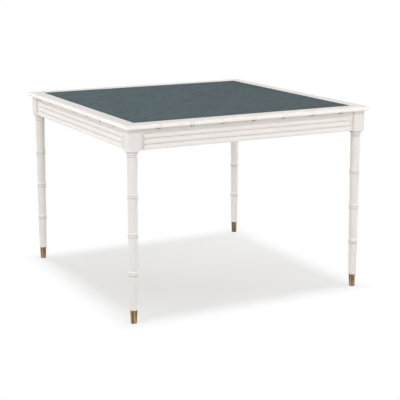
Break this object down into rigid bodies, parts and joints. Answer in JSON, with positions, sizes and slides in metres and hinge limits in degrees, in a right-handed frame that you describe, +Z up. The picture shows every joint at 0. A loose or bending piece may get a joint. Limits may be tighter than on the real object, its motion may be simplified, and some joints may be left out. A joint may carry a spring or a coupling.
{
  "type": "games table",
  "caption": "Square white lacquered games table with a leather playing field, bamboo-turned legs and edge, reeded aprons and brass ferrules.",
  "frame": {"origin": "on the floor under the middle of the top", "axes": "+Z up, +X along the front side to the right, +Y from the front side to the back"},
  "size_m": [1.082, 1.082, 0.763],
  "materials": {
    "hide": "matt, fine grain",
    "lacquer": "warm white satin lacquer",
    "brass": "aged, brushed round",
    "brass_screw": "plain",
    "plywood": "birch plywood, clear sealed",
    "poplar": "planed, unfinished",
    "beech": "planed, unfinished",
    "zinc_steel": "zinc plated"
  },
  "bodies": {
    "root": {"apron_back": "lacquer", "apron_dowels": "beech", "apron_front": "lacquer", "apron_left": "lacquer", "apron_right": "lacquer", "bolt_nuts": "zinc_steel", "bolt_washers": "zinc_steel", "border_back": "lacquer", "border_front": "lacquer", "border_left": "lacquer", "border_right": "lacquer", "clip_screws": "zinc_steel", "corner_block_back_left": "poplar", "corner_block_back_right": "poplar", "corner_block_front_left": "poplar", "corner_block_front_right": "poplar", "corner_block_screws": "zinc_steel", "cross_rail": "poplar", "ferrule_back_left": "brass", "ferrule_back_right": "brass", "ferrule_front_left": "brass", "ferrule_front_right": "brass", "ferrule_screws": "brass_screw", "hanger_bolts": "zinc_steel", "leather_back": "hide", "leather_front": "hide", "leg_back_left": "lacquer", "leg_back_right": "lacquer", "leg_front_left": "lacquer", "leg_front_right": "lacquer", "mitre_splines": "beech", "moulding_back": "lacquer", "moulding_front": "lacquer", "moulding_left": "lacquer", "moulding_right": "lacquer", "reed_back_lower": "lacquer", "reed_back_middle": "lacquer", "reed_back_upper": "lacquer", "reed_front_lower": "lacquer", "reed_front_middle": "lacquer", "reed_front_upper": "lacquer", "reed_left_lower": "lacquer", "reed_left_middle": "lacquer", "reed_left_upper": "lacquer", "reed_right_lower": "lacquer", "reed_right_middle": "lacquer", "reed_right_upper": "lacquer", "top_clips": "zinc_steel", "top_panel": "plywood"}
  },
  "joints": []
}
